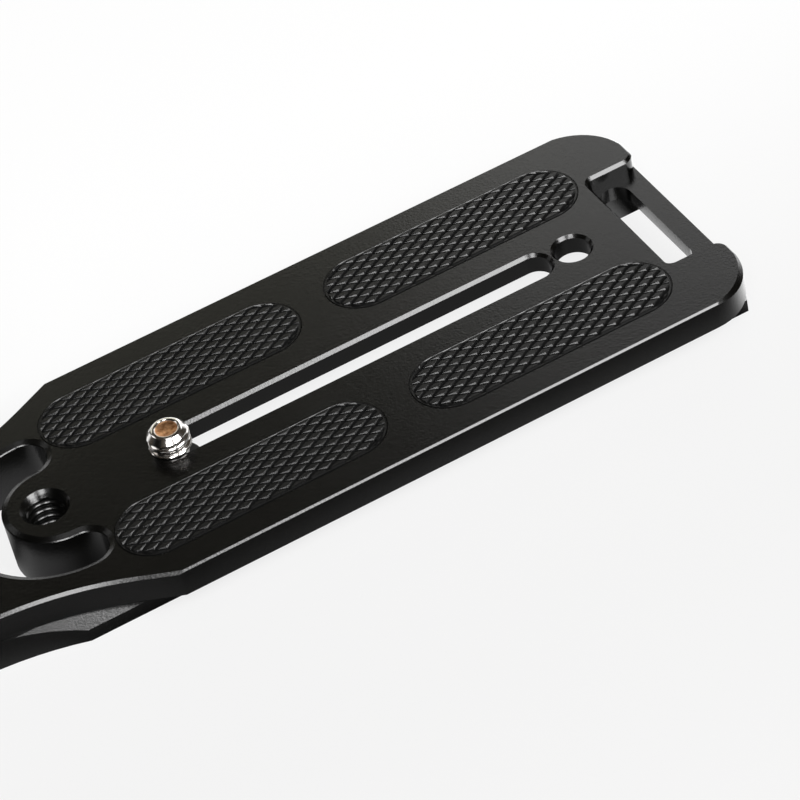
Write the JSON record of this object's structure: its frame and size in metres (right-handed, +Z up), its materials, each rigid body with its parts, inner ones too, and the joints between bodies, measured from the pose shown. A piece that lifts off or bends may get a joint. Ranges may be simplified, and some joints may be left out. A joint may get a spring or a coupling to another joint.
{
  "type": "camera l bracket",
  "caption": "Black anodised camera L bracket: dovetail base plate with grip pads and a captive 1/4 inch screw in a slot, tapped tab, strap slot and dovetail upright.",
  "frame": {"origin": "axis of the tapped tripod hole at the underside of the rail", "axes": "+X along the plate to the strap end, +Y across it to the picture's far side, +Z up through the seat"},
  "size_m": [0.1351, 0.048, 0.092],
  "materials": {
    "anodised_aluminium": "black satin anodised",
    "pad_rubber": "knurled black rubber",
    "plated_steel": "bright nickel plated",
    "washer_nylon": "black nylon, moulded"
  },
  "bodies": {
    "bracket": {"bracket_body": "anodised_aluminium", "pad_front_left": "pad_rubber", "pad_front_right": "pad_rubber", "pad_rear_left": "pad_rubber", "pad_rear_right": "pad_rubber"},
    "washer": {"screw_washer": "washer_nylon"},
    "screw": {"camera_screw": "plated_steel"}
  },
  "joints": [
    {"name": "screw_slide", "type": "slide", "parent": "bracket", "child": "washer", "axis": [1, 0, 0], "range_m": [0, 0.0597]},
    {"name": "screw_turn", "type": "hinge", "parent": "washer", "child": "screw", "pos_m": [0.01995, 0, 0.00545], "axis": [0, 0, 1], "continuous": true}
  ]
}
